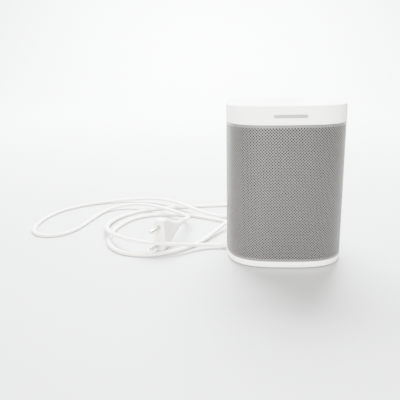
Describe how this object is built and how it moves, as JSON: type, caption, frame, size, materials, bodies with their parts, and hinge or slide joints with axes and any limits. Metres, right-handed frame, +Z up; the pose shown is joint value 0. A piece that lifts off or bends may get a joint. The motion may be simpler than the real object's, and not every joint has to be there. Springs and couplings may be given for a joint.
{
  "type": "smart speaker",
  "caption": "Compact mains-powered wireless speaker: rounded-square upright body, perforated wrap-round grille, plain cap with top buttons, and a long loose lead ending in a flat mains plug.",
  "frame": {"origin": "bottom centre of the foot, under the middle of the body", "axes": "+Z is up, the front with the badge faces -Y, and +X is to the right of someone facing the front; the lead leaves towards -X"},
  "size_m": [0.3673, 0.2518, 0.1615],
  "materials": {
    "shell_white": "fine satin moulding",
    "grille_grey": "powder-coated perforated sheet",
    "cloth_black": "knitted acoustic cloth",
    "badge_grey": "satin",
    "foot_rubber": "matte",
    "cabinet_grey": "matte moulding",
    "seal_black": "matte",
    "screw_steel": "zinc plated",
    "foam": "open-cell foam",
    "basket_black": "matte",
    "spider_cloth": "treated cloth",
    "motor_steel": "plated",
    "ferrite": "matte sintered",
    "contact_brass": "plain",
    "cone_paper": "coated paper",
    "copper": "enamelled wire",
    "dome_cloth": "coated cloth",
    "board_green": "solder mask",
    "chip_black": "matte",
    "switch_metal": "stamped",
    "lens_clear": "polished",
    "winding_yellow": "taped winding",
    "socket_black": "matte",
    "lead_white": "soft vinyl",
    "pin_nickel": "nickel plated"
  },
  "bodies": {
    "speaker": {"foot_pad": "foot_rubber", "base": "shell_white", "grille": "grille_grey", "grille_cloth": "cloth_black", "rear_panel": "shell_white", "top_cap": "shell_white", "badge": "badge_grey", "cabinet_rear": "cabinet_grey", "cabinet_front": "cabinet_grey", "cabinet_gasket": "seal_black", "cabinet_screws": "screw_steel", "damping_foam": "foam", "woofer_frame": "basket_black", "woofer_surround": "seal_black", "woofer_gasket": "seal_black", "woofer_screws": "screw_steel", "woofer_spider": "spider_cloth", "woofer_top_plate": "motor_steel", "woofer_magnet": "ferrite", "woofer_yoke": "motor_steel", "woofer_terminals": "contact_brass", "tweeter_faceplate": "basket_black", "tweeter_surround": "dome_cloth", "tweeter_magnet": "motor_steel", "tweeter_screws": "screw_steel", "button_carrier": "cabinet_grey", "button_board": "board_green", "tactile_switches": "switch_metal", "status_led": "lens_clear", "status_light_lens": "lens_clear", "cap_screws": "screw_steel", "main_board": "board_green", "main_board_chips": "chip_black", "heat_sink": "switch_metal", "antennas": "contact_brass", "board_screws": "screw_steel", "power_board": "board_green", "transformer": "winding_yellow", "capacitors": "chip_black", "network_socket": "socket_black", "bracket_insert": "contact_brass", "power_socket": "socket_black", "base_screws": "screw_steel", "inlet_plug": "shell_white", "inlet_strain_relief": "lead_white", "mains_lead": "lead_white", "plug_strain_relief": "lead_white", "plug_body": "lead_white", "plug_pins": "pin_nickel"},
    "woofer_piston": {"woofer_cone": "cone_paper", "woofer_dust_cap": "cone_paper", "woofer_voice_coil": "copper"},
    "tweeter_piston": {"tweeter_dome": "dome_cloth", "tweeter_voice_coil": "copper"},
    "volume_key": {"volume_rocker": "shell_white", "rocker_pin": "screw_steel"},
    "play_key": {"play_pause_button": "shell_white"}
  },
  "joints": [
    {"name": "play_pause_press", "type": "slide", "parent": "speaker", "child": "play_key", "axis": [0, 0, -1], "range_m": [0, 0.0006], "stiffness_N_per_m": 1500, "springref_m": -0.0002},
    {"name": "volume_rock", "type": "hinge", "parent": "speaker", "child": "volume_key", "pos_m": [0, 0.004, 0.1573], "axis": [0, 1, 0], "range_deg": [-2, 2], "stiffness_Nm_per_rad": 0.5},
    {"name": "woofer_stroke", "type": "slide", "parent": "speaker", "child": "woofer_piston", "axis": [0, -1, 0], "range_m": [-0.003, 0.003], "stiffness_N_per_m": 1500, "deforming": ["woofer_surround", "woofer_spider"]},
    {"name": "tweeter_stroke", "type": "slide", "parent": "speaker", "child": "tweeter_piston", "axis": [0, -1, 0], "range_m": [-0.0003, 0.0003], "stiffness_N_per_m": 3000, "deforming": ["tweeter_surround"]}
  ]
}
